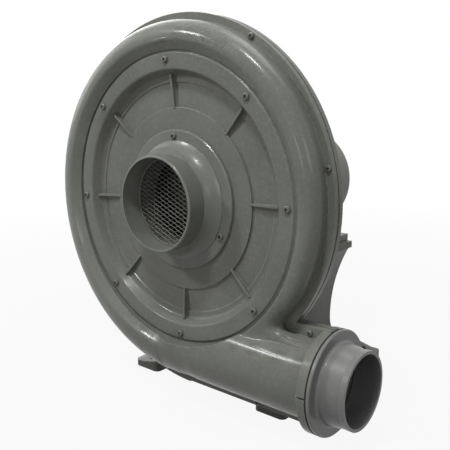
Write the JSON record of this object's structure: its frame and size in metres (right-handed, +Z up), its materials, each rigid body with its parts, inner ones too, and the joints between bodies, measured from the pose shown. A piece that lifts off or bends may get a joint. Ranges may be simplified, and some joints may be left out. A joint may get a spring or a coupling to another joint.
{
  "type": "radial blower",
  "caption": "Volute-cased radial blower with a round axial inlet, tangential outlet spigot and foot-mounted finned motor on a waisted pedestal.",
  "frame": {"origin": "middle of the four foot holes, on the floor", "axes": "+Z up, +Y along the shaft from the inlet to the motor's rear, +X along the outlet duct to its mouth"},
  "size_m": [0.5176, 0.37, 0.5256],
  "materials": {
    "casing_paint": "semi-gloss grey-green paint on an aluminium casting",
    "nozzle_paint": "semi-gloss grey paint on an aluminium casting",
    "motor_paint": "semi-gloss grey paint on an aluminium casting",
    "cowl_paint": "grey paint on deep-drawn sheet steel",
    "zinc_screws": "zinc-plated steel",
    "gasket": "black gasket sheet",
    "guard_wire": "dull steel wire",
    "seal_rubber": "black nitrile rubber",
    "lamination": "varnished steel laminations",
    "winding": "varnished copper wire",
    "bearing_steel": "ground bearing steel",
    "moulding": "black moulded plastic",
    "gland_plastic": "dark grey moulded plastic",
    "impeller_metal": "bare aluminium sheet",
    "hub_metal": "machined aluminium",
    "fan_plastic": "black moulded plastic"
  },
  "bodies": {
    "stand": {"front_casing": "casing_paint", "rear_casing": "casing_paint", "casing_gasket": "gasket", "casing_screws": "zinc_screws", "front_cover": "casing_paint", "cover_screws": "zinc_screws", "inlet_nozzle": "nozzle_paint", "inlet_screws": "zinc_screws", "inlet_guard": "guard_wire", "outlet_nozzle": "nozzle_paint", "outlet_gasket": "gasket", "outlet_screws": "zinc_screws", "shaft_seal": "seal_rubber", "pedestal": "casing_paint", "motor_frame": "motor_paint", "drive_end_shield": "motor_paint", "rear_end_shield": "motor_paint", "fan_cowl": "cowl_paint", "cowl_screws": "zinc_screws", "stator_core": "lamination", "stator_windings": "winding", "front_bearing_outer_ring": "bearing_steel", "rear_bearing_outer_ring": "bearing_steel", "wave_spring": "bearing_steel", "terminal_box": "motor_paint", "terminal_box_gasket": "gasket", "terminal_box_lid": "motor_paint", "lid_screws": "zinc_screws", "terminal_block": "moulding", "cable_gland": "gland_plastic", "motor_flange_bolts": "zinc_screws", "motor_foot_bolts": "zinc_screws", "tie_bolts": "zinc_screws"},
    "rotor": {"impeller_backplate": "impeller_metal", "impeller_blades": "impeller_metal", "impeller_shroud": "impeller_metal", "impeller_hub": "hub_metal", "impeller_washer": "zinc_screws", "impeller_bolt": "zinc_screws", "shaft": "bearing_steel", "shaft_key": "bearing_steel", "rotor_core": "lamination", "rotor_end_rings": "hub_metal", "cooling_fan": "fan_plastic", "fan_clip": "bearing_steel", "front_bearing_inner_ring": "bearing_steel", "rear_bearing_inner_ring": "bearing_steel"},
    "front_cage": {"front_bearing_balls": "bearing_steel"},
    "rear_cage": {"rear_bearing_balls": "bearing_steel"}
  },
  "joints": [
    {"name": "rotor_spin", "type": "hinge", "parent": "stand", "child": "rotor", "pos_m": [0, 0, 0.286], "axis": [0, 1, 0], "continuous": true},
    {"name": "front_cage_spin", "type": "hinge", "parent": "stand", "child": "front_cage", "pos_m": [0, 0, 0.286], "axis": [0, 1, 0], "continuous": true},
    {"name": "rear_cage_spin", "type": "hinge", "parent": "stand", "child": "rear_cage", "pos_m": [0, 0, 0.286], "axis": [0, 1, 0], "continuous": true}
  ],
  "couplings": [
    {"joint": "front_cage_spin", "follows": "rotor_spin", "ratio": 0.4065},
    {"joint": "rear_cage_spin", "follows": "rotor_spin", "ratio": 0.4065}
  ]
}
